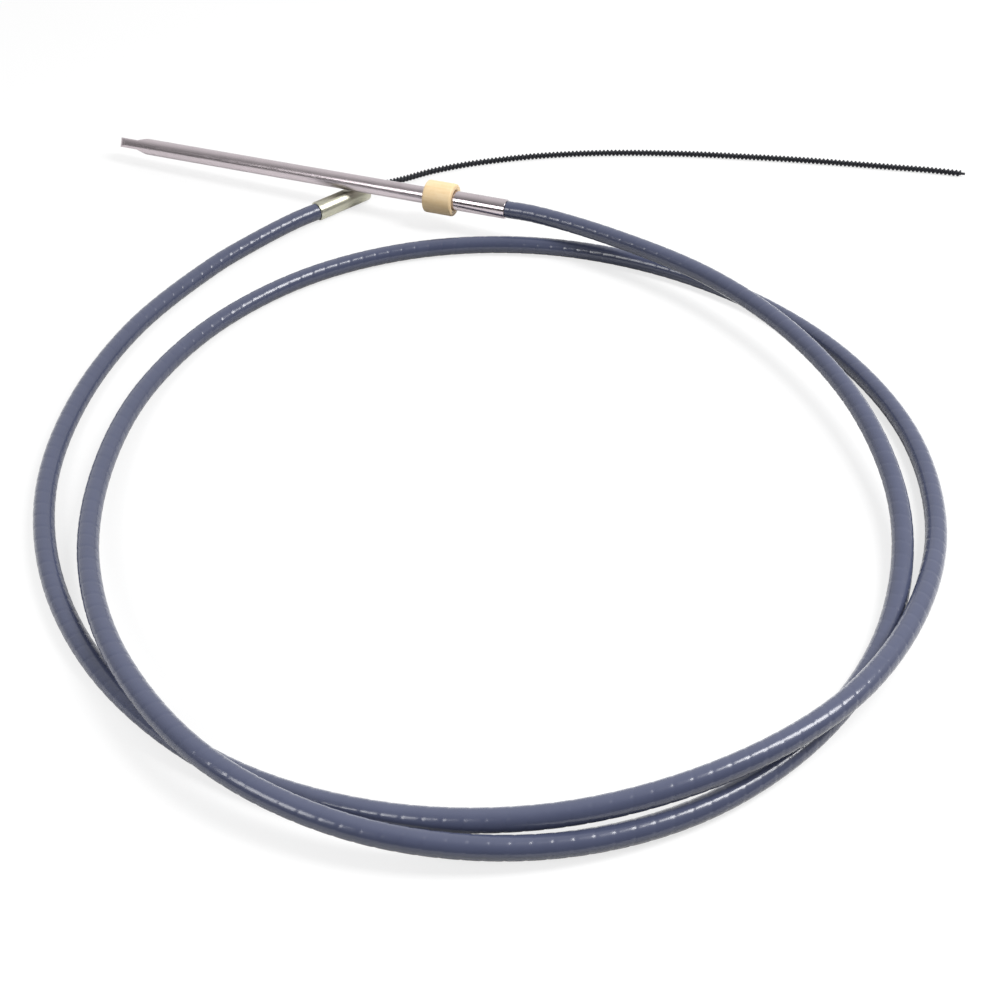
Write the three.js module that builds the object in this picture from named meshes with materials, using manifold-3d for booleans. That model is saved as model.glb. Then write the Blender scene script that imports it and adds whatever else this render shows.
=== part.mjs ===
// A rotary boat steering cable, lying in two loose turns on a level floor.
// Millimetres, +Z up, the floor at z = 0. The ram end is at the back left, the drive core at the back.
// One cable: a plastic-covered outer jacket, a steel sleeve with a telescoping ram and a loose coupling
// nut at one end, and a plated steel ferrule with the wound drive core running out of it at the other.

import * as THREE from 'three';
import * as BufferGeometryUtils from 'three/addons/utils/BufferGeometryUtils.js';
import Module from 'manifold-3d';

const wasm = await Module();
wasm.setup();

// Clearances
const SEAT_GAP = 0.3; // between fixed pieces that touch
const SLIDE_GAP = 0.06; // radial, between the guide tube and the ram that slides on it
const SPIN_GAP = 0.1; // radial, between the sleeve and the nut that spins on it
const THREAD_GAP = 0.3; // radial, between the collar and the nut's thread

// Ram line: the straight steel end, measured from the sleeve's rear end towards the ram's tip
const LINE_START = [-35.7, 266.3, 32.7]; // the sleeve's rear end, where the jacket goes in
const LINE_HEADING = 159.55; // degrees about +Z
const LINE_DROP = 1.8; // degrees that the line falls towards the tip

// Sleeve swaged on the jacket's end, with the collar that the nut bears on
const SLEEVE_OD = 18.5;
const SLEEVE_BACK = 52.5; // length that shows behind the nut
const COLLAR_STEP = 0.95; // how far the collar stands out from the sleeve
const COLLAR_LENGTH = 4;
const SLEEVE_CHAMFER = 0.6;

// Coupling nut
const NUT_WALL = 5; // round the front chamber
const NUT_LENGTH = 29;
const NUT_ROUNDING = 2.4; // radius of the outer edges
const NUT_FLANGE = 7; // thickness of the rear wall that bears on the collar
const NUT_MOUTH_FLARE = 1; // how much wider the rear bore's mouth is, all round
const NUT_MOUTH_DEPTH = 1.6;

// Guide tube and the ram that telescopes on it
const GUIDE_OD = 10;
const GUIDE_WALL = 1;
const GUIDE_SEAT = 40; // length held inside the sleeve
const STROKE = 229; // travel of the ram, nine inches
const GUIDE_ENGAGEMENT = 45; // length still inside the ram at full stroke
const RAM_OD = 16;
const RAM_REACH = 341; // from the nut's front face to the tip
const RAM_CHAMFER = 0.8;
const BORE_SPARE = 6; // bore left past the guide tube's end with the ram home

// Flattened tongue at the ram's tip
const TONGUE_THICKNESS = 9.5;
const TONGUE_FLAT = 21.5; // length of the flats
const TONGUE_TAPER = 7.5; // length of the slope from the flats to the full round
const TONGUE_ROLL = 33.5; // degrees that the flats are turned from level
const LINK_HOLE_D = 9.8;
const LINK_HOLE_EDGE = 11; // from the tip to the hole's centre

// Outer jacket
const JACKET_OD = 16;
const JACKET_STEPS = 72;
const JACKET_SIDES = 12;

// Helm ferrule
const FERRULE_REAR = [-221, 299.4, 9.4]; // centre of the end that the jacket goes into
const FERRULE_HEADING = 40; // degrees about +Z
const FERRULE_OD = 18.6;
const FERRULE_LENGTH = 59;
const FERRULE_CHAMFER = 1;
const FERRULE_BORE = 9.4;
const FERRULE_BORE_DEPTH = 15;
const LOCK_HOLE_D = 6;
const LOCK_HOLE_EDGE = 11.5; // from the ferrule's mouth to the hole's centre

// Drive core, the wound cable that the helm's gear turns in
const CORE_OD = 6.6;
const CORE_STEPS = 16;
const CORE_SIDES = 8;
const CORE_LEAD = 13; // straight length outside the ferrule's mouth

// The jacket's last points before each fitting lie on the fitting's axis, this far from it
const JACKET_LEAD = 28;

// Sides of a full circle, steps of a rounded corner, and how far a cutting shape reaches past what it cuts
const ROUND_SIDES = 48;
const FINE_SIDES = 24;
const CORNER_STEPS = 4;
const CUT_MARGIN = 1;

// Route of the jacket's centre from the ferrule to the sleeve, two turns seen from above
const JACKET_ROUTE = [
  [-279, 245, 8.4], [-311, 206, 8.2], [-364, 115, 8.2], [-393, 12, 8.2], [-395, -95, 8.2], [-365, -197, 8.2],
  [-305, -287, 8.2], [-219, -355, 8.2], [-117, -391, 11], [-11, -399, 21], [92, -374, 29], [183, -318, 29],
  [250, -232, 20], [288, -132, 10.5], [289, -25, 8.2], [252, 73, 8.2], [184, 155, 8.2], [94, 213, 8.2],
  [-9, 242, 8.2], [-116, 236, 8.2], [-214, 195, 8.2], [-292, 122, 8.2], [-339, 26, 11], [-353, -80, 16],
  [-340, -186, 22], [-297, -284, 28], [-224, -365, 29], [-127, -410, 22], [-19, -416, 13], [83, -387, 9],
  [170, -324, 8.2], [232, -236, 9.2], [260, -133, 17.5], [250, -28, 27], [211, 70, 31], [146, 156, 32],
  [60, 220, 33],
];

// Route of the drive core's centre from the ferrule's mouth to its free end
const CORE_ROUTE = [
  [-138, 366.5, 5.4], [-113, 382.5, 3.9], [-80, 396, 3.5], [-51, 404, 3.5], [-11, 412.5, 3.5],
  [29, 417.5, 3.5], [62, 419.7, 3.5], [104, 420, 3.5], [166, 417, 3.5], [207, 413, 3.5],
  [244, 409, 3.5], [283, 404, 3.5], [322, 398, 3.5], [360, 392, 3.5], [398, 386, 3.5],
  [432.5, 378.5, 3.5],
];

function steel(color, roughness) {
  return new THREE.MeshStandardMaterial({ color, roughness, metalness: 1 });
}

function plastic(color, roughness) {
  return new THREE.MeshStandardMaterial({ color, roughness, metalness: 0 });
}

function piece(name, geometry, material) {
  const mesh = new THREE.Mesh(geometry, material);
  mesh.name = name;
  return mesh;
}

// A solid for joining and cutting, from a closed geometry. Corners nearer than WELD are one corner.
const WELD = 1e-4;

function solid(geometry) {
  const bare = geometry.clone();
  bare.deleteAttribute('normal');
  bare.deleteAttribute('uv');
  const merged = BufferGeometryUtils.mergeVertices(bare, WELD);
  const corners = merged.index.array;
  const kept = [];
  for (let i = 0; i < corners.length; i += 3) {
    const [a, b, c] = [corners[i], corners[i + 1], corners[i + 2]];
    if (a !== b && b !== c && c !== a) kept.push(a, b, c);
  }
  const vertProperties = new Float32Array(merged.attributes.position.array);
  return new wasm.Manifold(new wasm.Mesh({ numProp: 3, vertProperties, triVerts: new Uint32Array(kept) }));
}

function geometryOf(manifold) {
  const mesh = manifold.getMesh();
  const geometry = new THREE.BufferGeometry();
  geometry.setAttribute('position', new THREE.BufferAttribute(new Float32Array(mesh.vertProperties), 3));
  geometry.setIndex(new THREE.BufferAttribute(new Uint32Array(mesh.triVerts), 1));
  return geometry;
}

// A turned shape about the local X axis, from [radius, x] pairs, outer wall towards +X
function turned(profile, sides) {
  const points = profile.map(([radius, x]) => new THREE.Vector2(radius, x));
  return new THREE.LatheGeometry(points, sides).rotateZ(-Math.PI / 2);
}

// A round bar along the local Z axis, centred on x, for cross holes
function crossBar(diameter, length, x, sides) {
  const radius = diameter / 2;
  return new THREE.CylinderGeometry(radius, radius, length, sides).rotateX(Math.PI / 2).translate(x, 0, 0);
}

// A flat outline in the X and Z directions, extruded across Y
function plateAcross(outline, width) {
  const shape = new THREE.Shape(outline.map(([x, z]) => new THREE.Vector2(x, z)));
  const geometry = new THREE.ExtrudeGeometry(shape, { depth: width, bevelEnabled: false });
  return geometry.translate(0, 0, -width / 2).rotateX(Math.PI / 2);
}

// A rounded corner of a turned shape: [radius, x] pairs on an arc, with angles in degrees from +X
function roundedCorner(radius, x, rounding, from, to) {
  const points = [];
  for (let i = 0; i <= CORNER_STEPS; i += 1) {
    const angle = THREE.MathUtils.degToRad(from + ((to - from) * i) / CORNER_STEPS);
    points.push([radius + rounding * Math.sin(angle), x + rounding * Math.cos(angle)]);
  }
  return points;
}

// A round tube along a smooth curve through the route's points
function tube(route, diameter, sides, steps) {
  const path = new THREE.CatmullRomCurve3(route, false, 'centripetal');
  const section = new THREE.Shape();
  for (let i = 0; i < sides; i += 1) {
    const angle = (2 * Math.PI * i) / sides;
    const [x, y] = [Math.cos(angle) * diameter / 2, Math.sin(angle) * diameter / 2];
    if (i === 0) section.moveTo(x, y);
    else section.lineTo(x, y);
  }
  return new THREE.ExtrudeGeometry(section, { steps, extrudePath: path, curveSegments: 1 });
}

// Diameters that follow from their neighbours
const GUIDE_ID = GUIDE_OD - 2 * GUIDE_WALL;
const COLLAR_OD = SLEEVE_OD + 2 * COLLAR_STEP;
const NUT_BORE = SLEEVE_OD + 2 * SPIN_GAP;
const NUT_THREAD_ID = COLLAR_OD + 2 * THREAD_GAP;
const NUT_OD = NUT_THREAD_ID + 2 * NUT_WALL;

// Places along the ram line, all from the sleeve's rear end
const NUT_REAR = SLEEVE_BACK;
const NUT_FRONT = NUT_REAR + NUT_LENGTH;
const COLLAR_REAR = NUT_REAR + NUT_FLANGE + SEAT_GAP;
const SLEEVE_FRONT = COLLAR_REAR + COLLAR_LENGTH;
const GUIDE_REAR = SLEEVE_FRONT - GUIDE_SEAT;
const GUIDE_FRONT = SLEEVE_FRONT + STROKE + GUIDE_ENGAGEMENT;
const RAM_REAR = SLEEVE_FRONT + SEAT_GAP;
const RAM_TIP = NUT_FRONT + RAM_REACH;

function endSleeve() {
  const seat = GUIDE_OD / 2 + SEAT_GAP;
  const passage = GUIDE_ID / 2;
  const outer = SLEEVE_OD / 2;
  return turned([
    [passage, 0],
    [outer - SLEEVE_CHAMFER, 0],
    [outer, SLEEVE_CHAMFER],
    [outer, COLLAR_REAR],
    [COLLAR_OD / 2, COLLAR_REAR],
    [COLLAR_OD / 2, SLEEVE_FRONT],
    [seat, SLEEVE_FRONT],
    [seat, GUIDE_REAR - SEAT_GAP],
    [passage, GUIDE_REAR - SEAT_GAP],
    [passage, 0],
  ], ROUND_SIDES);
}

function couplingNut() {
  const edge = NUT_OD / 2 - NUT_ROUNDING;
  const bore = NUT_BORE / 2;
  const thread = NUT_THREAD_ID / 2;
  const mouth = bore + NUT_MOUTH_FLARE;
  const flangeFront = NUT_REAR + NUT_FLANGE;
  return turned([
    [mouth, NUT_REAR],
    ...roundedCorner(edge, NUT_REAR + NUT_ROUNDING, NUT_ROUNDING, 180, 90),
    ...roundedCorner(edge, NUT_FRONT - NUT_ROUNDING, NUT_ROUNDING, 90, 0),
    [thread, NUT_FRONT],
    [thread, flangeFront],
    [bore, flangeFront],
    [bore, NUT_REAR + NUT_MOUTH_DEPTH],
    [mouth, NUT_REAR],
  ], ROUND_SIDES);
}

function guideTube() {
  return turned([
    [GUIDE_ID / 2, GUIDE_REAR],
    [GUIDE_OD / 2, GUIDE_REAR],
    [GUIDE_OD / 2, GUIDE_FRONT],
    [GUIDE_ID / 2, GUIDE_FRONT],
    [GUIDE_ID / 2, GUIDE_REAR],
  ], ROUND_SIDES);
}

// The ram: a blind tube whose tip is flattened to a tongue with a half-round end and the link bolt's hole
function outputRam() {
  const outer = RAM_OD / 2;
  const bore = GUIDE_OD / 2 + SLIDE_GAP;
  const boreEnd = GUIDE_FRONT + BORE_SPARE;
  const bar = solid(turned([
    [0, boreEnd],
    [bore, boreEnd],
    [bore, RAM_REAR],
    [outer - RAM_CHAMFER, RAM_REAR],
    [outer, RAM_REAR + RAM_CHAMFER],
    [outer, RAM_TIP],
    [0, RAM_TIP],
  ], ROUND_SIDES));

  const half = TONGUE_THICKNESS / 2;
  const clear = outer + CUT_MARGIN;
  const pastTip = RAM_TIP + CUT_MARGIN;
  const pastRear = RAM_REAR - CUT_MARGIN;
  const tipCentre = RAM_TIP - outer;
  const flatStart = RAM_TIP - TONGUE_FLAT;
  const slopeStart = flatStart - TONGUE_TAPER * (clear - half) / (outer - half);
  const above = [[slopeStart, clear], [flatStart, half], [pastTip, half], [pastTip, clear]];
  const below = above.map(([x, z]) => [x, -z]).reverse();

  const end = new THREE.Shape();
  end.moveTo(pastRear, -clear);
  end.lineTo(tipCentre, -clear);
  end.lineTo(tipCentre, -outer);
  end.absarc(tipCentre, 0, outer, -Math.PI / 2, Math.PI / 2, false);
  end.lineTo(tipCentre, clear);
  end.lineTo(pastRear, clear);
  const upright = { depth: 2 * clear, bevelEnabled: false, curveSegments: FINE_SIDES };
  const halfRound = new THREE.ExtrudeGeometry(end, upright);
  halfRound.translate(0, 0, -clear);

  const hole = crossBar(LINK_HOLE_D, 2 * clear, RAM_TIP - LINK_HOLE_EDGE, FINE_SIDES);
  const tongued = bar
    .subtract(solid(plateAcross(above, 2 * clear)))
    .subtract(solid(plateAcross(below, 2 * clear)))
    .intersect(solid(halfRound))
    .subtract(solid(hole));
  return geometryOf(tongued);
}

function helmFerrule() {
  const outer = FERRULE_OD / 2;
  const boreEnd = FERRULE_LENGTH - FERRULE_BORE_DEPTH;
  const body = solid(turned([
    [0, 0],
    [outer - FERRULE_CHAMFER, 0],
    [outer, FERRULE_CHAMFER],
    [outer, FERRULE_LENGTH - FERRULE_CHAMFER],
    [outer - FERRULE_CHAMFER, FERRULE_LENGTH],
    [FERRULE_BORE / 2, FERRULE_LENGTH],
    [FERRULE_BORE / 2, boreEnd],
    [0, boreEnd],
  ], ROUND_SIDES));
  const holeLength = outer + CUT_MARGIN;
  const hole = crossBar(LOCK_HOLE_D, holeLength, FERRULE_LENGTH - LOCK_HOLE_EDGE, FINE_SIDES);
  hole.translate(0, 0, holeLength / 2);
  return geometryOf(body.subtract(solid(hole)));
}

// The straight end: sleeve, guide tube, nut and ram on one line
const ramLine = new THREE.Group();
ramLine.position.set(...LINE_START);
ramLine.rotation.set(0, THREE.MathUtils.degToRad(LINE_DROP), THREE.MathUtils.degToRad(LINE_HEADING), 'ZYX');
ramLine.add(piece('end_sleeve', endSleeve(), steel('#b9b2b6', 0.25)));
ramLine.add(piece('guide_tube', guideTube(), steel('#b9b2b6', 0.3)));
ramLine.add(piece('coupling_nut', couplingNut(), steel('#e0c48f', 0.6)));
const ram = piece('output_ram', outputRam(), steel('#b4abb0', 0.3));
ram.rotation.x = THREE.MathUtils.degToRad(TONGUE_ROLL);
ramLine.add(ram);
ramLine.updateMatrixWorld(true);

// The helm end: the ferrule, with the core's first point inside its bore
const helmEnd = new THREE.Group();
helmEnd.position.set(...FERRULE_REAR);
helmEnd.rotation.z = THREE.MathUtils.degToRad(FERRULE_HEADING);
helmEnd.add(piece('helm_ferrule', helmFerrule(), steel('#c9c9b4', 0.35)));
helmEnd.updateMatrixWorld(true);

function onLine(x) {
  return ramLine.localToWorld(new THREE.Vector3(x, 0, 0));
}

function onFerrule(x) {
  return helmEnd.localToWorld(new THREE.Vector3(x, 0, 0));
}

// The jacket leaves each fitting along its axis
const jacketRoute = [
  onFerrule(-SEAT_GAP),
  onFerrule(-JACKET_LEAD),
  ...JACKET_ROUTE.map((point) => new THREE.Vector3(...point)),
  onLine(-JACKET_LEAD),
  onLine(-SEAT_GAP),
];
const coreRoute = [
  onFerrule(FERRULE_LENGTH - FERRULE_BORE_DEPTH + SEAT_GAP),
  onFerrule(FERRULE_LENGTH + CORE_LEAD),
  ...CORE_ROUTE.map((point) => new THREE.Vector3(...point)),
];

const cable = new THREE.Group();
cable.add(ramLine);
cable.add(helmEnd);
const jacket = tube(jacketRoute, JACKET_OD, JACKET_SIDES, JACKET_STEPS);
const core = tube(coreRoute, CORE_OD, CORE_SIDES, CORE_STEPS);
cable.add(piece('outer_jacket', jacket, plastic('#3f4356', 0.4)));
cable.add(piece('drive_core', core, steel('#26282c', 0.5)));

export default cable;
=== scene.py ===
# A rotary boat steering cable, lying in two loose turns: a plastic-covered jacket between a steel helm
# ferrule, out of which the wound drive core runs, and a steel sleeve that carries the guide tube, the
# coupling nut and the ram.
import bmesh
import bpy
import numpy as np
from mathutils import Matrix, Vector


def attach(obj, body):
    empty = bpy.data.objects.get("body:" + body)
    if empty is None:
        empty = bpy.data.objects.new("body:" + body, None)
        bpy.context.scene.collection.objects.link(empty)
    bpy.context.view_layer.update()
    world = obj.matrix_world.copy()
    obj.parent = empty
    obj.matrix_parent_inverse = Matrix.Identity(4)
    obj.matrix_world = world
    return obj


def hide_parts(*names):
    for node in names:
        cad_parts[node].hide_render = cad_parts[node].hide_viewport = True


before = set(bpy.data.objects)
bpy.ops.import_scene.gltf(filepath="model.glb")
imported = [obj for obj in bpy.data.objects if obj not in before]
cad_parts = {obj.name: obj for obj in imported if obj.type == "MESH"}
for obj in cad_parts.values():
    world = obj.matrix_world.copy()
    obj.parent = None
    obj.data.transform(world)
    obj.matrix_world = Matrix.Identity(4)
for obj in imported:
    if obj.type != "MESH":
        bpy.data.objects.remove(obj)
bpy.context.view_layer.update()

# Viewpoint
# A small camera looks down on the coils from the front at 44 degrees, from 0.77 m above the floor. Its lens
# covers the whole cable, with the ram's tip at the left and the free end of the core at the right.
CAMERA_AT = (-0.042, -0.8902, 0.766)
CAMERA_TILT = 46
LENS_MM = 50.87
SENSOR_MM = 36
NEAREST_SEEN = 0.01

camera = bpy.data.objects.new("camera", bpy.data.cameras.new("camera"))
camera.location = CAMERA_AT
camera.rotation_euler = (np.radians(CAMERA_TILT), 0, 0)
camera.data.lens = LENS_MM
camera.data.sensor_width = SENSOR_MM
camera.data.sensor_fit = "HORIZONTAL"
camera.data.clip_start = NEAREST_SEEN
bpy.context.scene.collection.objects.link(camera)
bpy.context.scene.camera = camera

# Helm ferrule
# A turned steel tube pressed on the jacket's end, bright zinc with a faint straw passivation. It locks the
# cable in the helm: a pin goes into its cross hole, and the drive core runs out of its bore.
FERRULE_REAR = (-0.221, 0.2994, 0.0094)
FERRULE_HEADING = 40
FERRULE_LENGTH = 0.059
FERRULE_RADIUS = 0.0093
FERRULE_BORE = 0.0047
FERRULE_BORE_DEPTH = 0.015
FERRULE_EDGE = 0.001
LOCK_HOLE_RADIUS = 0.003
LOCK_HOLE_FROM_MOUTH = 0.0115
LOCK_HOLE_FLARE = 0.0011
LOCK_HOLE_FLARE_DEPTH = 0.0003
LOCK_HOLE_EDGE = 0.0002
LOCK_HOLE_ROUND = 48
CUTTER_SPARE = 0.001
ZINC = "#b6b5aa"
ZINC_STRAW = "#aead97"
ROUND = 96
EASED_SHARE = 0.45
MERGED_WITHIN = 2e-6


def line_axes(heading, drop=0):
    """Turns a fitting's own X axis down by drop degrees, then by heading degrees about the world's Z."""
    turn, fall = np.radians(heading), np.radians(drop)
    about_z = np.array([[np.cos(turn), -np.sin(turn), 0], [np.sin(turn), np.cos(turn), 0], [0, 0, 1]])
    about_y = np.array([[np.cos(fall), 0, np.sin(fall)], [0, 1, 0], [-np.sin(fall), 0, np.cos(fall)]])
    return about_z @ about_y


def eased(corners, edge, steps=6):
    """An outline with each corner eased: a parabola from edge metres before the corner to edge metres after
    it, or from a share of a short side."""
    corners = np.array(corners, float)
    share = np.linspace(0, 1, steps)[:, None]
    pieces = [corners[:1]]
    for before, corner, after in zip(corners[:-2], corners[1:-1], corners[2:]):
        back, on = before - corner, after - corner
        reach = min(edge, np.linalg.norm(back) * EASED_SHARE, np.linalg.norm(on) * EASED_SHARE)
        start = corner + back / np.linalg.norm(back) * reach
        end = corner + on / np.linalg.norm(on) * reach
        pieces.append(start * (1 - share) ** 2 + corner * 2 * share * (1 - share) + end * share**2)
    return np.concatenate(pieces + [corners[-1:]])


def turned(outline, columns=ROUND):
    """A turned surface: each (along, radius) point of the outline goes once round the local X axis."""
    along, radius = np.transpose(outline)[:, :, None]
    angle = np.linspace(0, 2 * np.pi, columns, endpoint=False)[None]
    return np.stack([along + 0 * angle, radius * np.cos(angle), radius * np.sin(angle)], axis=-1)


def run_length(points):
    """Distance from the first point to each point, along the line through them."""
    return np.concatenate([[0], np.cumsum(np.linalg.norm(np.diff(points, axis=0), axis=-1))])


def skin(name, grid, around, sharp=35, loop=False):
    """A closed mesh over a grid of points: rows run along the piece, columns round it, and the last column
    joins the first. With loop the last row joins the first too. Its UV map holds metres round the piece and
    metres along it."""
    rows, columns = grid.shape[:2]
    along = run_length(grid[:, 0])
    along = np.append(along, along[-1])
    row, column = np.meshgrid(np.arange(rows if loop else rows - 1), np.arange(columns), indexing="ij")
    on, beside = (row + 1) % rows, (column + 1) % columns
    corners = [row * columns + column, row * columns + beside, on * columns + beside, on * columns + column]
    faces = np.stack(corners, -1)
    u = np.stack([column, column + 1, column + 1, column], -1) * around / columns
    v = np.stack([along[row], along[row], along[row + 1], along[row + 1]], -1)
    mesh = bpy.data.meshes.new(name)
    mesh.from_pydata(grid.reshape(-1, 3).tolist(), [], faces.reshape(-1, 4).tolist())
    mesh.uv_layers.new(name="UVMap").data.foreach_set("uv", np.stack([u, v], -1).astype(np.float32).ravel())
    shell = bmesh.new()
    shell.from_mesh(mesh)
    bmesh.ops.remove_doubles(shell, verts=shell.verts, dist=MERGED_WITHIN)
    bmesh.ops.recalc_face_normals(shell, faces=shell.faces)
    shell.to_mesh(mesh)
    shell.free()
    mesh.shade_smooth()
    mesh.set_sharp_from_angle(angle=np.radians(sharp))
    piece = bpy.data.objects.new(name, mesh)
    bpy.context.scene.collection.objects.link(piece)
    return piece


def drilled(piece, cutter):
    """The piece with the cutter's shape taken out of its mesh. The cutter isn't kept."""
    cut = piece.modifiers.new("drilled", "BOOLEAN")
    cut.object = cutter
    cut.solver = "EXACT"
    whole = piece.evaluated_get(bpy.context.evaluated_depsgraph_get())
    mesh = bpy.data.meshes.new_from_object(whole)
    piece.modifiers.clear()
    piece.data = mesh
    bpy.data.objects.remove(cutter)


def linear(colour):
    """An sRGB hex colour as linear light, with full alpha."""
    srgb = np.array([int(colour[place:place + 2], 16) for place in (1, 3, 5)]) / 255
    light = np.where(srgb <= 0.04045, srgb / 12.92, ((srgb + 0.055) / 1.055) ** 2.4)
    return (*light.tolist(), 1)


def add(tree, kind, inputs, **settings):
    """One shader node. inputs gives each of its sockets a value, or links it to another node's output."""
    node = tree.nodes.new("ShaderNode" + kind)
    for key, value in settings.items():
        setattr(node, key, value)
    for socket, value in inputs.items():
        if isinstance(value, bpy.types.NodeSocket):
            tree.links.new(value, node.inputs[socket])
        else:
            node.inputs[socket].default_value = value
    return node


def new_finish(name, **fixed):
    """An empty material: its node tree, and its surface shader with the values that are alike all over."""
    material = bpy.data.materials.new(name)
    material.use_nodes = True
    shader = material.node_tree.nodes["Principled BSDF"]
    for socket, value in fixed.items():
        shader.inputs[socket.replace("_", " ")].default_value = value
    return material, material.node_tree, shader


# Zinc plate with a thin yellow-green passivation on turned steel: a soft metal shine, in clouds about 6 mm
# across where the film is thicker, over lathe marks that run round the tube every 0.4 mm.
def zinc_plate():
    material, tree, shader = new_finish("passivated_zinc_plate", Metallic=1.0)
    place = add(tree, "TexCoord", {})
    cloud = add(tree, "TexNoise", {"Vector": place.outputs["Object"], "Scale": 160, "Detail": 3})
    film = add(tree, "Mix", {0: cloud.outputs[0], 6: linear(ZINC), 7: linear(ZINC_STRAW)}, data_type="RGBA")
    lathe_marks = add(tree, "Mapping", {"Vector": place.outputs["UV"], "Scale": (30, 2500, 1)})
    marks = add(tree, "TexNoise", {"Vector": lathe_marks.outputs[0], "Scale": 1, "Detail": 2})
    gloss = add(tree, "MapRange", {"Value": cloud.outputs[0], "To Min": 0.3, "To Max": 0.46})
    bump = add(tree, "Bump", {"Height": marks.outputs[0], "Strength": 0.12, "Distance": 0.0001})
    tree.links.new(film.outputs[2], shader.inputs["Base Color"])
    tree.links.new(gloss.outputs[0], shader.inputs["Roughness"])
    tree.links.new(bump.outputs[0], shader.inputs["Normal"])
    return material


ferrule_outline = eased([
    (0, 0), (0, FERRULE_RADIUS), (FERRULE_LENGTH, FERRULE_RADIUS), (FERRULE_LENGTH, FERRULE_BORE),
    (FERRULE_LENGTH - FERRULE_BORE_DEPTH, FERRULE_BORE), (FERRULE_LENGTH - FERRULE_BORE_DEPTH, 0),
], FERRULE_EDGE)
ferrule_axes = line_axes(FERRULE_HEADING)
ferrule_grid = turned(ferrule_outline) @ ferrule_axes.T + FERRULE_REAR
helm_ferrule = skin("helm_ferrule_shell", ferrule_grid, 2 * np.pi * FERRULE_RADIUS)

hole_outline = eased([
    (0, 0), (0, LOCK_HOLE_RADIUS), (FERRULE_RADIUS - LOCK_HOLE_FLARE_DEPTH, LOCK_HOLE_RADIUS),
    (FERRULE_RADIUS + CUTTER_SPARE, LOCK_HOLE_RADIUS + LOCK_HOLE_FLARE), (FERRULE_RADIUS + CUTTER_SPARE, 0),
], LOCK_HOLE_EDGE)
lock_grid = turned(hole_outline, LOCK_HOLE_ROUND)[..., [1, 2, 0]]
lock_grid[..., 0] += FERRULE_LENGTH - LOCK_HOLE_FROM_MOUTH
lock_hole = skin("lock_hole", lock_grid @ ferrule_axes.T + FERRULE_REAR, 2 * np.pi * LOCK_HOLE_RADIUS)
drilled(helm_ferrule, lock_hole)
helm_ferrule.data.materials.append(zinc_plate())
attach(helm_ferrule, "cable")
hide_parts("helm_ferrule")

# Outer jacket
# Plastic extruded over a liner tube, long steel wires and a steel strip wound round them, 16 mm across. The
# strip's turns show through as a shallow groove every 13 mm. It runs from the helm ferrule to the sleeve in
# two loose turns.
JACKET_DIAMETER = 0.016
JACKET_SEAT = 0.0003
STRIP_PITCH = 0.013
STRIP_GROOVE = 0.0002
STRIP_SWELL = 0.0001
GROOVE_SHARE = 0.09
JACKET_RING_GAP = 0.001
JACKET_COLUMNS = 24
JACKET_LEAD = 0.028
CURVE_STEPS = 200
CORD_SHARP = 60
SLEEVE_REAR = (-0.0357, 0.2663, 0.0327)
LINE_HEADING = 159.55
LINE_DROP = 1.8
SLATE = "#43485e"
SLATE_WORN = "#4b5067"
JACKET_ROUTE = [
    (-0.279, 0.245, 0.0084), (-0.311, 0.206, 0.0082), (-0.364, 0.115, 0.0082), (-0.393, 0.012, 0.0082),
    (-0.395, -0.095, 0.0082), (-0.365, -0.197, 0.0082), (-0.305, -0.287, 0.0082), (-0.219, -0.355, 0.0082),
    (-0.117, -0.391, 0.011), (-0.011, -0.399, 0.021), (0.092, -0.374, 0.029), (0.183, -0.318, 0.029),
    (0.25, -0.232, 0.02), (0.288, -0.132, 0.0105), (0.289, -0.025, 0.0082), (0.252, 0.073, 0.0082),
    (0.184, 0.155, 0.0082), (0.094, 0.213, 0.0082), (-0.009, 0.242, 0.0082), (-0.116, 0.236, 0.0082),
    (-0.214, 0.195, 0.0082), (-0.292, 0.122, 0.0082), (-0.339, 0.026, 0.011), (-0.353, -0.08, 0.016),
    (-0.34, -0.186, 0.022), (-0.297, -0.284, 0.028), (-0.224, -0.365, 0.029), (-0.127, -0.41, 0.022),
    (-0.019, -0.416, 0.013), (0.083, -0.387, 0.009), (0.17, -0.324, 0.0082), (0.232, -0.236, 0.0092),
    (0.26, -0.133, 0.0175), (0.25, -0.028, 0.027), (0.211, 0.07, 0.031), (0.146, 0.156, 0.032),
    (0.06, 0.22, 0.033),
]


def on_line(start, axes, along):
    """The point that lies along metres down a fitting's own X axis."""
    return tuple(np.array(start) + axes[:, 0] * along)


def smooth_route(points, gap):
    """A centripetal Catmull-Rom curve through the points, cut into equal steps of about gap metres. Each
    stretch is blended in three rounds from straight lines between its knots, which lie the square root of a
    chord apart."""
    points = np.array(points)
    points = np.concatenate([[2 * points[0] - points[1]], points, [2 * points[-1] - points[-2]]])
    four = np.stack([points[:-3], points[1:-2], points[2:-1], points[3:]])
    chord = np.linalg.norm(np.diff(four, axis=0), axis=-1) ** 0.5
    knot = np.concatenate([np.zeros_like(chord[:1]), np.cumsum(chord, axis=0)])[:, :, None, None]
    time = knot[1] + (knot[2] - knot[1]) * np.linspace(0, 1, CURVE_STEPS, endpoint=False)[None, :, None]
    layer = four[:, :, None, :]
    for reach in (1, 2, 3):
        low, high = (knot[:-reach], knot[reach:]) if reach < 3 else (knot[1:2], knot[2:3])
        layer = ((high - time) * layer[:-1] + (time - low) * layer[1:]) / (high - low)
    fine = np.concatenate([layer[0].reshape(-1, 3), points[-2:-1]])
    length = run_length(fine)
    even = np.linspace(0, length[-1], int(round(length[-1] / gap)) + 1)
    return np.stack([np.interp(even, length, fine[:, axis]) for axis in range(3)], axis=-1)


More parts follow.
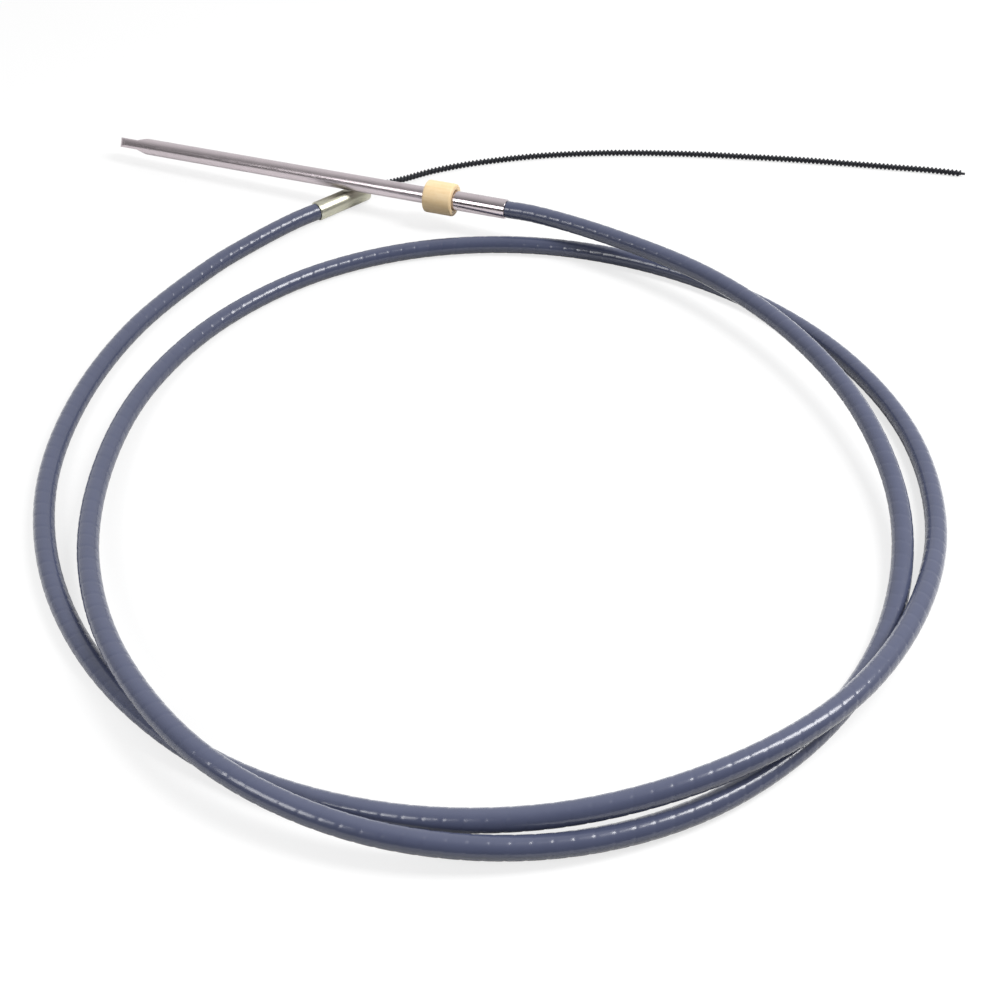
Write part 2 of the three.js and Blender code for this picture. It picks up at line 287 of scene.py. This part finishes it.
def tube(route, radius):
    """A tube round a route that is nowhere upright: rings across its direction, with radius given for each
    point of each ring (rows along, columns round), and flat ends closed at their centres."""
    direction = np.gradient(route, axis=0)
    direction /= np.linalg.norm(direction, axis=-1, keepdims=True)
    side = np.cross(direction, (0, 0, 1))
    side /= np.linalg.norm(side, axis=-1, keepdims=True)
    above = np.cross(side, direction)
    angle = np.linspace(0, 2 * np.pi, radius.shape[1], endpoint=False)[None, :, None]
    spoke = side[:, None] * np.cos(angle) + above[:, None] * np.sin(angle)
    wall = route[:, None] + spoke * radius[:, :, None]
    caps = [np.broadcast_to(route[end], (1, *wall.shape[1:])) for end in (0, -1)]
    return np.concatenate([caps[0], wall, caps[1]])


def turns_of_strip(rows, columns, gap):
    """Where each surface point lies across the wound strip, from 0 at one groove to 1 at the next."""
    return (np.arange(rows)[:, None] * gap / STRIP_PITCH - np.arange(columns)[None] / columns) % 1


# Semi-gloss extruded polyethylene, slate blue: a clear highlight that the cover's own grooves break up, over
# a grain of 1 mm, and slightly cloudy from handling in patches about 20 mm across.
def slate_polyethylene():
    material, tree, shader = new_finish("slate_polyethylene", IOR=1.5)
    place = add(tree, "TexCoord", {})
    cloud = add(tree, "TexNoise", {"Vector": place.outputs["Object"], "Scale": 45, "Detail": 4})
    tint = add(tree, "Mix", {0: cloud.outputs[0], 6: linear(SLATE), 7: linear(SLATE_WORN)}, data_type="RGBA")
    grain = add(tree, "TexNoise", {"Vector": place.outputs["Object"], "Scale": 900, "Detail": 2})
    gloss = add(tree, "MapRange", {"Value": cloud.outputs[0], "To Min": 0.17, "To Max": 0.27})
    bump = add(tree, "Bump", {"Height": grain.outputs[0], "Strength": 0.12, "Distance": 0.0001})
    tree.links.new(tint.outputs[2], shader.inputs["Base Color"])
    tree.links.new(gloss.outputs[0], shader.inputs["Roughness"])
    tree.links.new(bump.outputs[0], shader.inputs["Normal"])
    return material


line_axes_world = line_axes(LINE_HEADING, LINE_DROP)
jacket_route = smooth_route([
    on_line(FERRULE_REAR, ferrule_axes, -JACKET_SEAT),
    on_line(FERRULE_REAR, ferrule_axes, -JACKET_LEAD),
    *JACKET_ROUTE,
    on_line(SLEEVE_REAR, line_axes_world, -JACKET_LEAD),
    on_line(SLEEVE_REAR, line_axes_world, -JACKET_SEAT),
], JACKET_RING_GAP)
jacket_length = run_length(jacket_route)[-1]
across_strip = turns_of_strip(len(jacket_route), JACKET_COLUMNS, jacket_length / (len(jacket_route) - 1))
from_groove = np.minimum(across_strip, 1 - across_strip)
groove = STRIP_GROOVE * np.exp(-((from_groove / GROOVE_SHARE) ** 2))
swell = STRIP_SWELL * (across_strip - 0.5)
jacket_radius = JACKET_DIAMETER / 2 + swell - groove
jacket_grid = tube(jacket_route, jacket_radius)
outer_jacket = skin("outer_jacket_cover", jacket_grid, np.pi * JACKET_DIAMETER, CORD_SHARP)
outer_jacket.data.materials.append(slate_polyethylene())
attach(outer_jacket, "cable")
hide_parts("outer_jacket")

# Drive core
# A spring-steel strand with one round wire wound on it as a long screw thread, which the helm's gear drives.
# It is phosphated dark and oiled, and its free end is cut off plain, with the strand a little longer.
CORE_DIAMETER = 0.0066
CORE_ROOT = 0.0019
WIRE_PITCH = 0.00405
WIRE_WIDTH = 0.0024
CORE_RING_GAP = 0.00034
CORE_COLUMNS = 28
CORE_LEAD = 0.013
CORE_GAP = 0.0003
STRAND_RADIUS = 0.0013
STRAND_LENGTH = 0.004
PHOSPHATE = "#1c1d22"
PHOSPHATE_WORN = "#34353a"
CORE_ROUTE = [
    (-0.138, 0.3665, 0.0054), (-0.113, 0.3825, 0.0039), (-0.08, 0.396, 0.0035), (-0.051, 0.404, 0.0035),
    (-0.011, 0.4125, 0.0035), (0.029, 0.4175, 0.0035), (0.062, 0.4197, 0.0035), (0.104, 0.42, 0.0035),
    (0.166, 0.417, 0.0035), (0.207, 0.413, 0.0035), (0.244, 0.409, 0.0035), (0.283, 0.404, 0.0035),
    (0.322, 0.398, 0.0035), (0.36, 0.392, 0.0035), (0.398, 0.386, 0.0035), (0.4325, 0.3785, 0.0035),
]


# Manganese phosphate on spring steel, oiled: near black and half dull, rubbed brighter in patches about 3 mm
# across, over a grain of 0.4 mm.
def oiled_phosphate():
    material, tree, shader = new_finish("oiled_phosphated_steel", Metallic=0.75)
    place = add(tree, "TexCoord", {})
    rubbed = add(tree, "TexNoise", {"Vector": place.outputs["Object"], "Scale": 320, "Detail": 3})
    tint = add(tree, "Mix", {0: rubbed.outputs[0], 6: linear(PHOSPHATE), 7: linear(PHOSPHATE_WORN)},
               data_type="RGBA")
    gloss = add(tree, "MapRange", {"Value": rubbed.outputs[0], "To Min": 0.5, "To Max": 0.34})
    fine = add(tree, "TexNoise", {"Vector": place.outputs["Object"], "Scale": 2600, "Detail": 2})
    bump = add(tree, "Bump", {"Height": fine.outputs[0], "Strength": 0.3, "Distance": 0.00008})
    tree.links.new(tint.outputs[2], shader.inputs["Base Color"])
    tree.links.new(gloss.outputs[0], shader.inputs["Roughness"])
    tree.links.new(bump.outputs[0], shader.inputs["Normal"])
    return material


core_route = smooth_route([
    on_line(FERRULE_REAR, ferrule_axes, FERRULE_LENGTH - FERRULE_BORE_DEPTH + CORE_GAP),
    on_line(FERRULE_REAR, ferrule_axes, FERRULE_LENGTH + CORE_LEAD), *CORE_ROUTE,
], CORE_RING_GAP)
core_length = run_length(core_route)[-1]
wire_turn = np.arange(len(core_route))[:, None] * core_length / (len(core_route) - 1) / WIRE_PITCH
wire_turn = (wire_turn - np.arange(CORE_COLUMNS)[None] / CORE_COLUMNS) % 1
from_wire = np.minimum(wire_turn, 1 - wire_turn) * WIRE_PITCH
wire_height = np.sqrt(np.clip(1 - (2 * from_wire / WIRE_WIDTH) ** 2, 0, 1))
core_radius = CORE_ROOT + (CORE_DIAMETER / 2 - CORE_ROOT) * wire_height
core_radius[-round(STRAND_LENGTH / CORE_RING_GAP):] = STRAND_RADIUS
core_grid = tube(core_route, core_radius)
drive_core = skin("drive_core_screw", core_grid, np.pi * CORE_DIAMETER, CORD_SHARP)
drive_core.data.materials.append(oiled_phosphate())
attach(drive_core, "cable")
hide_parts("drive_core")

# End sleeve
# A stainless tube swaged down on the jacket's other end and polished. Its collar, inside the nut, is what
# the nut pulls against, and the guide tube is pressed into its front.
SLEEVE_RADIUS = 0.00925
SLEEVE_BACK = 0.0525
COLLAR_RADIUS = 0.0102
COLLAR_LENGTH = 0.004
NUT_FLANGE = 0.007
SEAT_GAP = 0.0003
GUIDE_SEAT = 0.040
GUIDE_RADIUS = 0.005
GUIDE_BORE = 0.004
SLEEVE_EDGE = 0.0006
BORE_SEAM = 0.02
SEAM_WIDTH = 0.001
STAINLESS = "#c0b6ba"
STAINLESS_DULL = "#b1a8ac"

COLLAR_REAR = SLEEVE_BACK + NUT_FLANGE + SEAT_GAP
SLEEVE_FRONT = COLLAR_REAR + COLLAR_LENGTH
GUIDE_REAR = SLEEVE_FRONT - GUIDE_SEAT


# Stainless tube, polished along its length: a mirror drawn out into streaks, with scratches 0.2 mm wide and
# 25 mm long, and clouds about 14 mm across. scratch is how strongly the scratches show, and smooth and rough
# are the roughness where they do least and most.
def polished_stainless(name, smooth, rough, scratch):
    material, tree, shader = new_finish(name, Metallic=1.0)
    place = add(tree, "TexCoord", {})
    lengthways = add(tree, "Mapping", {"Vector": place.outputs["UV"], "Scale": (5000, 40, 1)})
    scratches = add(tree, "TexNoise", {"Vector": lengthways.outputs[0], "Scale": 1, "Detail": 3})
    cloud = add(tree, "TexNoise", {"Vector": place.outputs["Object"], "Scale": 70, "Detail": 3})
    tint = add(tree, "Mix", {0: cloud.outputs[0], 6: linear(STAINLESS), 7: linear(STAINLESS_DULL)},
               data_type="RGBA")
    gloss = add(tree, "MapRange", {"Value": scratches.outputs[0], "From Min": 0.3, "From Max": 0.7,
                                   "To Min": smooth, "To Max": rough})
    bump = add(tree, "Bump", {"Height": scratches.outputs[0], "Strength": scratch, "Distance": 0.00005})
    tree.links.new(tint.outputs[2], shader.inputs["Base Color"])
    tree.links.new(gloss.outputs[0], shader.inputs["Roughness"])
    tree.links.new(bump.outputs[0], shader.inputs["Normal"])
    return material


def on_ram_line(grid):
    """Places a grid from the ram line's own axes, X from the sleeve's rear end towards the ram's tip."""
    return grid @ line_axes_world.T + SLEEVE_REAR


sleeve_outline = eased([
    (BORE_SEAM, GUIDE_BORE), (0, GUIDE_BORE), (0, SLEEVE_RADIUS), (COLLAR_REAR, SLEEVE_RADIUS),
    (COLLAR_REAR, COLLAR_RADIUS), (SLEEVE_FRONT, COLLAR_RADIUS), (SLEEVE_FRONT, GUIDE_RADIUS + SEAT_GAP),
    (GUIDE_REAR - SEAT_GAP, GUIDE_RADIUS + SEAT_GAP), (GUIDE_REAR - SEAT_GAP, GUIDE_BORE),
    (BORE_SEAM + SEAM_WIDTH, GUIDE_BORE),
], SLEEVE_EDGE)
sleeve_grid = on_ram_line(turned(sleeve_outline))
end_sleeve = skin("end_sleeve_shell", sleeve_grid, 2 * np.pi * SLEEVE_RADIUS, loop=True)
sleeve_finish = polished_stainless("polished_stainless_sleeve", smooth=0.12, rough=0.24, scratch=0.1)
end_sleeve.data.materials.append(sleeve_finish)
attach(end_sleeve, "cable")
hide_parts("end_sleeve")

# Guide tube
# A thin drawn stainless tube that is pressed into the sleeve's front, and on which the ram telescopes. It
# shows only while the ram is run out.
STROKE = 0.229
GUIDE_ENGAGEMENT = 0.045
GUIDE_EDGE = 0.0003
GUIDE_ROUND = 64

GUIDE_FRONT = SLEEVE_FRONT + STROKE + GUIDE_ENGAGEMENT

guide_outline = eased([
    (GUIDE_FRONT / 2, GUIDE_BORE), (GUIDE_REAR, GUIDE_BORE), (GUIDE_REAR, GUIDE_RADIUS),
    (GUIDE_FRONT, GUIDE_RADIUS), (GUIDE_FRONT, GUIDE_BORE), (GUIDE_FRONT / 2 + SEAM_WIDTH, GUIDE_BORE),
], GUIDE_EDGE)
guide_grid = on_ram_line(turned(guide_outline, GUIDE_ROUND))
guide_tube = skin("guide_tube_shell", guide_grid, 2 * np.pi * GUIDE_RADIUS, loop=True)
guide_finish = polished_stainless("drawn_stainless_guide", smooth=0.18, rough=0.3, scratch=0.15)
guide_tube.data.materials.append(guide_finish)
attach(guide_tube, "cable")
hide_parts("guide_tube")

# Coupling nut
# A turned nut that is loose on the sleeve and draws the cable on to the tilt tube's thread. It is coated
# tan, and the coat is faintly mottled. Its rear mouth is flared, and its front chamber has a thread of 14
# turns to the inch.
NUT_RADIUS = 0.0155
NUT_LENGTH = 0.029
NUT_EDGE = 0.0034
NUT_MOUTH_RADIUS = 0.01035
NUT_MOUTH_DEPTH = 0.0016
NUT_SPIN_RADIUS = 0.00935
NUT_THREAD_RADIUS = 0.0105
THREAD_PITCH = 0.001814
THREAD_DEPTH = 0.0006
THREAD_CHAMFER = 0.0008
THREAD_INSET = 0.001
ROWS_PER_TURN = 8
TAN = "#e3c493"
TAN_PALE = "#ecd3ab"

NUT_REAR = SLEEVE_BACK
NUT_FRONT = NUT_REAR + NUT_LENGTH
FLANGE_FRONT = NUT_REAR + NUT_FLANGE


# Baked tan coating on steel: satin, mottled in patches about 4 mm across, with streaks 2.4 mm wide along the
# nut where the wet coat drained.
def tan_coating():
    material, tree, shader = new_finish("baked_tan_coating", IOR=1.5)
    place = add(tree, "TexCoord", {})
    mottle = add(tree, "TexNoise", {"Vector": place.outputs["Object"], "Scale": 260, "Detail": 4})
    lengthways = add(tree, "Mapping", {"Vector": place.outputs["UV"], "Scale": (420, 40, 1)})
    streaks = add(tree, "TexNoise", {"Vector": lengthways.outputs[0], "Scale": 1, "Detail": 3})
    both = add(tree, "Math", {0: mottle.outputs[0], 1: 0.5, 2: streaks.outputs[0]}, operation="MULTIPLY_ADD")
    uneven = add(tree, "MapRange", {"Value": both.outputs[0], "From Min": 0.5, "From Max": 1.0})
    tint = add(tree, "Mix", {0: uneven.outputs[0], 6: linear(TAN), 7: linear(TAN_PALE)}, data_type="RGBA")
    gloss = add(tree, "MapRange", {"Value": mottle.outputs[0], "To Min": 0.42, "To Max": 0.6})
    bump = add(tree, "Bump", {"Height": mottle.outputs[0], "Strength": 0.25, "Distance": 0.0001})
    tree.links.new(tint.outputs[2], shader.inputs["Base Color"])
    tree.links.new(gloss.outputs[0], shader.inputs["Roughness"])
    tree.links.new(bump.outputs[0], shader.inputs["Normal"])
    return material


thread_rows = np.arange(NUT_FRONT - THREAD_INSET, FLANGE_FRONT + THREAD_INSET, -THREAD_PITCH / ROWS_PER_TURN)
nut_outline = np.concatenate([
    eased([
        (NUT_REAR + NUT_FLANGE / 2, NUT_SPIN_RADIUS), (NUT_REAR + NUT_MOUTH_DEPTH, NUT_SPIN_RADIUS),
        (NUT_REAR, NUT_MOUTH_RADIUS), (NUT_REAR, NUT_RADIUS), (NUT_FRONT, NUT_RADIUS),
        (NUT_FRONT, NUT_THREAD_RADIUS + THREAD_DEPTH), (NUT_FRONT - THREAD_CHAMFER, NUT_THREAD_RADIUS),
    ], NUT_EDGE),
    np.stack([thread_rows, np.full_like(thread_rows, NUT_THREAD_RADIUS)], axis=-1),
    [(FLANGE_FRONT, NUT_THREAD_RADIUS), (FLANGE_FRONT, NUT_SPIN_RADIUS)],
])
nut_grid = turned(nut_outline)
angle = np.linspace(0, 1, ROUND, endpoint=False)[None]
thread = np.abs((nut_grid[..., 0] / THREAD_PITCH - angle) % 1 - 0.5) * 2 * THREAD_DEPTH
in_chamber = np.isin(nut_outline[:, 0], thread_rows)[:, None]
fade = np.clip((nut_grid[..., 0] - FLANGE_FRONT) / THREAD_PITCH, 0, 1) * in_chamber
nut_grid[..., 1:] *= 1 + (thread * fade / NUT_THREAD_RADIUS)[..., None]
coupling_nut = skin("coupling_nut_shell", on_ram_line(nut_grid), 2 * np.pi * NUT_RADIUS, loop=True)
coupling_nut.data.materials.append(tan_coating())
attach(coupling_nut, "nut")
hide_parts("coupling_nut")

# Output ram
# A stainless rod that slides out of the tilt tube. It is bored to telescope on the guide tube, centreless
# ground, and its tip is pressed flat to a tongue with a half-round end, drilled for the link's bolt.
RAM_RADIUS = 0.008
RAM_REACH = 0.341
RAM_BORE = 0.00506
RAM_EDGE = 0.0008
BORE_SPARE = 0.006
TONGUE_HALF = 0.00475
TONGUE_FLAT = 0.0215
TONGUE_TAPER = 0.0075
TONGUE_ROLL = 33.5
TONGUE_EASE = 0.0012
TONGUE_ROWS_LENGTH = 0.03
TONGUE_ROW_GAP = 0.0003
TONGUE_LEAD = 0.001
TIP_ROWS = 24
LINK_HOLE_RADIUS = 0.0049
LINK_HOLE_FROM_TIP = 0.011
HOLE_EASE = 0.0005
HOLE_FLARE = 0.0015
LINK_HOLE_ROUND = 64
CUTTER_HALF = 0.006175

RAM_REAR = SLEEVE_FRONT + SEAT_GAP
RAM_TIP = NUT_FRONT + RAM_REACH
BORE_END = GUIDE_FRONT + BORE_SPARE


def soft_limit(value, limit, ease):
    """The value held below the limit on both sides of zero, with a parabola in place of the corner."""
    size = np.abs(value)
    ease = np.minimum(ease, limit) + 1e-9
    held = np.minimum(size, limit) - np.maximum(ease - np.abs(size - limit), 0) ** 2 / (4 * ease)
    return np.sign(value) * held


tongue_rows = RAM_TIP - RAM_RADIUS - np.arange(TONGUE_ROWS_LENGTH, 0, -TONGUE_ROW_GAP)
tip_rows = RAM_TIP - RAM_RADIUS + RAM_RADIUS * np.sin(np.linspace(0, np.pi / 2, TIP_ROWS))
back_outline = eased([
    (BORE_END, 0), (BORE_END, RAM_BORE), (RAM_REAR, RAM_BORE), (RAM_REAR, RAM_RADIUS),
    (tongue_rows[0] - TONGUE_LEAD, RAM_RADIUS),
], RAM_EDGE)
front_rows = np.concatenate([tongue_rows, tip_rows])
front_outline = np.stack([front_rows, np.full_like(front_rows, RAM_RADIUS)], axis=-1)
ram_grid = turned(np.concatenate([back_outline, front_outline]))
slope = (RAM_RADIUS - TONGUE_HALF) / TONGUE_TAPER
before_flat = np.maximum(RAM_TIP - TONGUE_FLAT - front_rows, 0)[:, None]
into_tip = np.maximum(front_rows - RAM_TIP + RAM_RADIUS, 0)[:, None]
half_thick = TONGUE_HALF + before_flat * slope
half_wide = np.sqrt(np.maximum(RAM_RADIUS**2 - into_tip**2, 0))
front = ram_grid[len(back_outline):]
half_wide = np.where(into_tip > 0, half_wide, 2 * RAM_RADIUS)
front[..., 1] = soft_limit(front[..., 1], half_wide, TONGUE_EASE)
front[..., 2] = soft_limit(front[..., 2], half_thick, TONGUE_EASE)

roll = np.radians(TONGUE_ROLL)
tongue_axes = np.array([[1, 0, 0], [0, np.cos(roll), -np.sin(roll)], [0, np.sin(roll), np.cos(roll)]])
output_ram = skin("output_ram_rod", on_ram_line(ram_grid @ tongue_axes.T), 2 * np.pi * RAM_RADIUS)
link_outline = [
    (-CUTTER_HALF, 0), (-CUTTER_HALF, LINK_HOLE_RADIUS + HOLE_FLARE),
    (-TONGUE_HALF + HOLE_EASE, LINK_HOLE_RADIUS), (TONGUE_HALF - HOLE_EASE, LINK_HOLE_RADIUS),
    (CUTTER_HALF, LINK_HOLE_RADIUS + HOLE_FLARE), (CUTTER_HALF, 0),
]
link_grid = turned(link_outline, LINK_HOLE_ROUND)[..., [1, 2, 0]]
link_grid[..., 0] += RAM_TIP - LINK_HOLE_FROM_TIP
link_hole = skin("link_hole", on_ram_line(link_grid @ tongue_axes.T), 2 * np.pi * LINK_HOLE_RADIUS)
drilled(output_ram, link_hole)
ram_finish = polished_stainless("ground_stainless_ram", smooth=0.2, rough=0.36, scratch=0.25)
output_ram.data.materials.append(ram_finish)
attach(output_ram, "ram")
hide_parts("output_ram")

# Floor and light
# A plain white floor. Where the camera sees it, three quarters of its white is its own glow, so that
# shadows stay faint. Light that it bounces on to the cable is painted grey, and the floor fades to a darker
# painted falloff towards the front, which paints shade on the cable's undersides. It stands in a room that
# is bright at the back and dim behind the camera. Two soft boxes draw the streaks along the tubes: a square
# one at the left front and a long one on the right.
FLOOR_HALF = 6
FLOOR_GAP = 0.0002
FLOOR_WHITE = "#fbfbfb"
# Painted shade: the grey of the light that the floor bounces, and the darker grey it fades to at the front.
FLOOR_BOUNCE_PAINTED_SHADE = "#585858"
FLOOR_FALLOFF_PAINTED_SHADE = "#303030"
FLOOR_PAINTED_FALLOFF_SPAN = (-1.3, -0.6)
FLOOR_GLOW = 0.75
SOFT_BOXES = {
    "box_left_front": ((-1.08, -1.14, 1.24), (0.7, 0.7), 14),
    "box_right": ((1.12, -0.12, 1.62), (0.55, 1.1), 38),
}
ROOM_BRIGHT = 1.1
ROOM_DIM = 0.1
ROOM_BLEND = 0.8
ROOM_WHITE = "#ffffff"

scene = bpy.context.scene
floor_mesh = bpy.data.meshes.new("floor")
floor_corners = [(x * FLOOR_HALF, y * FLOOR_HALF, -FLOOR_GAP) for x, y in ((-1, -1), (1, -1), (1, 1), (-1, 1))]
floor_mesh.from_pydata(floor_corners, [], [(0, 1, 2, 3)])
floor = bpy.data.objects.new("floor", floor_mesh)
scene.collection.objects.link(floor)


# Matt white paint; where the camera sees it, three quarters of its white is its own glow. Seen from the
# cable, its bounced light is painted grey, and all its light fades to a darker grey towards the dim side of
# the room: painted shade.
def white_floor_painted_shade():
    material, tree, shader = new_finish("white_floor_painted_shade", Roughness=0.95)
    place = add(tree, "TexCoord", {})
    parts = add(tree, "SeparateXYZ", {"Vector": place.outputs["Object"]})
    ray = add(tree, "LightPath", {})
    # Painted shade: diffuse rays see the floor grey, and every ray but the camera's sees it fade darker to the
    # front.
    bounce_painted_shade = add(tree, "Mix", {0: ray.outputs["Is Diffuse Ray"], 6: linear(FLOOR_WHITE),
                               7: linear(FLOOR_BOUNCE_PAINTED_SHADE)}, data_type="RGBA")
    near = add(tree, "MapRange", {"Value": parts.outputs["Y"], "From Min": FLOOR_PAINTED_FALLOFF_SPAN[0],
                                  "From Max": FLOOR_PAINTED_FALLOFF_SPAN[1]}, interpolation_type="SMOOTHSTEP")
    painted_falloff = add(tree, "Mix", {0: near.outputs[0], 6: linear(FLOOR_FALLOFF_PAINTED_SHADE), 7: bounce_painted_shade.outputs[2]},
                 data_type="RGBA")
    seen = add(tree, "Mix", {0: ray.outputs["Is Camera Ray"], 6: painted_falloff.outputs[2], 7: linear(FLOOR_WHITE)},
               data_type="RGBA")
    tree.links.new(seen.outputs[2], shader.inputs["Base Color"])
    glow = add(tree, "Emission", {"Color": linear(FLOOR_WHITE)})
    share = add(tree, "Math", {0: ray.outputs["Is Camera Ray"], 1: FLOOR_GLOW}, operation="MULTIPLY")
    even = add(tree, "MixShader", {0: share.outputs[0], 1: shader.outputs[0], 2: glow.outputs[0]})
    tree.links.new(even.outputs[0], tree.nodes["Material Output"].inputs["Surface"])
    return material


floor_mesh.materials.append(white_floor_painted_shade())

for name, (place, size, power) in SOFT_BOXES.items():
    light = bpy.data.objects.new(name, bpy.data.lights.new(name, "AREA"))
    light.location = place
    light.rotation_euler = (-Vector(place)).to_track_quat("-Z", "Y").to_euler()
    light.data.shape = "RECTANGLE"
    light.data.size, light.data.size_y = size
    light.data.energy = power
    scene.collection.objects.link(light)

scene.world = bpy.data.worlds.new("room")
scene.world.use_nodes = True
room = scene.world.node_tree
way = add(room, "TexCoord", {})
parts = add(room, "SeparateXYZ", {"Vector": way.outputs["Generated"]})
glow = add(room, "MapRange", {"Value": parts.outputs["Y"], "From Min": -ROOM_BLEND, "From Max": ROOM_BLEND,
                              "To Min": ROOM_DIM, "To Max": ROOM_BRIGHT}, interpolation_type="SMOOTHSTEP")
room.links.new(glow.outputs[0], room.nodes["Background"].inputs["Strength"])
room.nodes["Background"].inputs["Color"].default_value = linear(ROOM_WHITE)
scene.view_settings.view_transform = "Standard"
